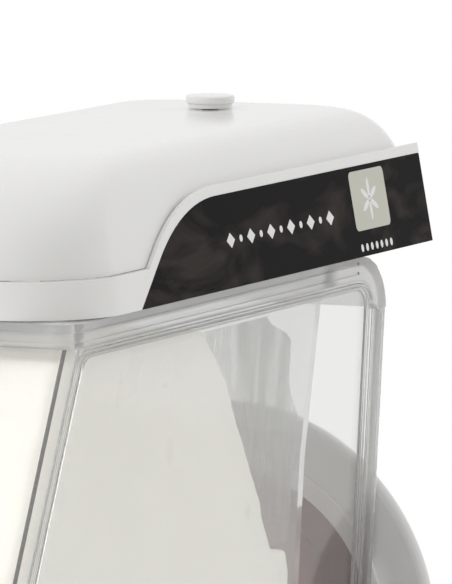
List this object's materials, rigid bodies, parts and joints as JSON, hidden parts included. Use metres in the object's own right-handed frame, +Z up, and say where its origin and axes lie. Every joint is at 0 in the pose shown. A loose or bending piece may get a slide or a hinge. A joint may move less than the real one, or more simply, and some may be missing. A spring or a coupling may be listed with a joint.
{
  "type": "frozen drink dispenser",
  "caption": "Countertop frozen-drink dispenser with a clear raked bowl, horizontal auger, domed lid, lever tap, drip tray and refrigerated base.",
  "frame": {"origin": "on the counter, under the middle of the overall box", "axes": "+Z up, -Y towards the user, +X to the user's right"},
  "size_m": [0.24, 0.58, 0.6916],
  "materials": {
    "white_gloss": "gloss",
    "white_satin": "satin",
    "clear": "clear moulded",
    "black_gloss": "gloss",
    "dark_plastic": "fine texture",
    "grey_plastic": "satin",
    "painted": "satin powder coat",
    "steel": "brushed",
    "zinc": "zinc plated",
    "aluminium": "mill",
    "copper": "drawn copper",
    "black_metal": "black enamel",
    "rubber": "matt",
    "red_rubber": "matt silicone",
    "cream": "wet frozen cream",
    "board": "solder mask",
    "drive_white": "acetal"
  },
  "bodies": {
    "chassis": {"base_pan": "zinc", "rubber_feet": "rubber", "front_cover": "white_satin", "left_panel": "painted", "right_panel": "painted", "rear_panel": "painted", "top_deck": "steel", "rear_housing": "white_satin", "housing_cover": "painted", "panel_screws": "steel", "evaporator_barrel": "steel", "evaporator_collar": "white_gloss", "bowl_seal": "red_rubber", "shaft_bushes": "drive_white", "gearbox_case": "aluminium", "gear_motor": "grey_plastic", "compressor": "black_metal", "compressor_grommets": "rubber", "condenser": "aluminium", "fan_shroud": "zinc", "fan_motor": "dark_plastic", "refrigerant_pipes": "copper", "filter_drier": "copper", "control_bezel": "dark_plastic", "display_window": "black_gloss", "control_board": "board", "power_inlet": "dark_plastic", "switch_frame": "dark_plastic", "tray_bracket": "steel"},
    "auger_drive": {"drive_shaft": "steel", "auger": "drive_white", "auger_nose": "drive_white", "output_gear": "drive_white"},
    "motor_drive": {"motor_pinion": "steel", "motor_shaft": "steel"},
    "fan": {"fan_rotor": "dark_plastic"},
    "bowl": {"bowl_jacket": "clear", "inner_tank": "clear", "bowl_rim": "clear", "frozen_product": "cream", "tap_body": "white_gloss", "handle_pin": "steel", "star_nozzle": "grey_plastic", "handle_spring": "steel"},
    "lid": {"lid_dome": "white_gloss", "lid_skirt": "white_gloss", "graphic_plate_right": "black_gloss", "graphic_plate_left": "black_gloss", "lid_liner": "white_satin", "lid_light_board": "aluminium"},
    "lid_knob": {"lid_knob": "white_gloss"},
    "tap_handle": {"tap_handle": "dark_plastic"},
    "piston": {"tap_piston": "drive_white", "piston_rings": "rubber"},
    "tray": {"drip_tray": "dark_plastic"},
    "grille": {"drip_grille": "steel"},
    "button_power": {"button_power": "grey_plastic"},
    "button_mode": {"button_mode": "grey_plastic"},
    "button_light": {"button_light": "grey_plastic"},
    "rocker": {"rocker_switch": "black_gloss"}
  },
  "joints": [
    {"name": "auger_spin", "type": "hinge", "parent": "chassis", "child": "auger_drive", "pos_m": [0, 0, 0.426], "axis": [0, 1, 0], "continuous": true},
    {"name": "pinion_spin", "type": "hinge", "parent": "chassis", "child": "motor_drive", "pos_m": [0, 0.219, 0.378], "axis": [0, 1, 0], "continuous": true},
    {"name": "fan_spin", "type": "hinge", "parent": "chassis", "child": "fan", "pos_m": [-0.0668, 0.071, 0.147], "axis": [1, 0, 0], "continuous": true},
    {"name": "bowl_slide", "type": "slide", "parent": "chassis", "child": "bowl", "axis": [0, -1, 0], "range_m": [0, 0.2]},
    {"name": "lid_lift", "type": "slide", "parent": "bowl", "child": "lid", "axis": [0, 0, 1], "range_m": [0, 0.12]},
    {"name": "lid_knob_turn", "type": "hinge", "parent": "lid", "child": "lid_knob", "pos_m": [0, 0.182, 0.688], "axis": [0, 0, 1], "range_deg": [0, 90]},
    {"name": "tap_pull", "type": "hinge", "parent": "bowl", "child": "tap_handle", "pos_m": [0, -0.235, 0.414], "axis": [-1, 0, 0], "range_deg": [0, 30], "stiffness_Nm_per_rad": 1.2, "springref_deg": -11.46},
    {"name": "piston_lift", "type": "slide", "parent": "bowl", "child": "piston", "axis": [0, 0, 1], "range_m": [0, 0.0074]},
    {"name": "tray_slide", "type": "slide", "parent": "chassis", "child": "tray", "axis": [0, -1, 0], "range_m": [0, 0.1]},
    {"name": "grille_lift", "type": "slide", "parent": "tray", "child": "grille", "axis": [0, 0, 1], "range_m": [0, 0.05]},
    {"name": "press_power", "type": "slide", "parent": "chassis", "child": "button_power", "axis": [0, 1, 0], "range_m": [0, 0.0015], "stiffness_N_per_m": 400},
    {"name": "press_mode", "type": "slide", "parent": "chassis", "child": "button_mode", "axis": [0, 1, 0], "range_m": [0, 0.0015], "stiffness_N_per_m": 400},
    {"name": "press_light", "type": "slide", "parent": "chassis", "child": "button_light", "axis": [0, 1, 0], "range_m": [0, 0.0015], "stiffness_N_per_m": 400},
    {"name": "rocker_tilt", "type": "hinge", "parent": "chassis", "child": "rocker", "pos_m": [-0.02, 0.285, 0.07], "axis": [1, 0, 0], "range_deg": [-8, 8]}
  ],
  "couplings": [
    {"joint": "pinion_spin", "follows": "auger_spin", "ratio": -3},
    {"joint": "piston_lift", "follows": "tap_pull", "m_per_rad": 0.0139}
  ]
}
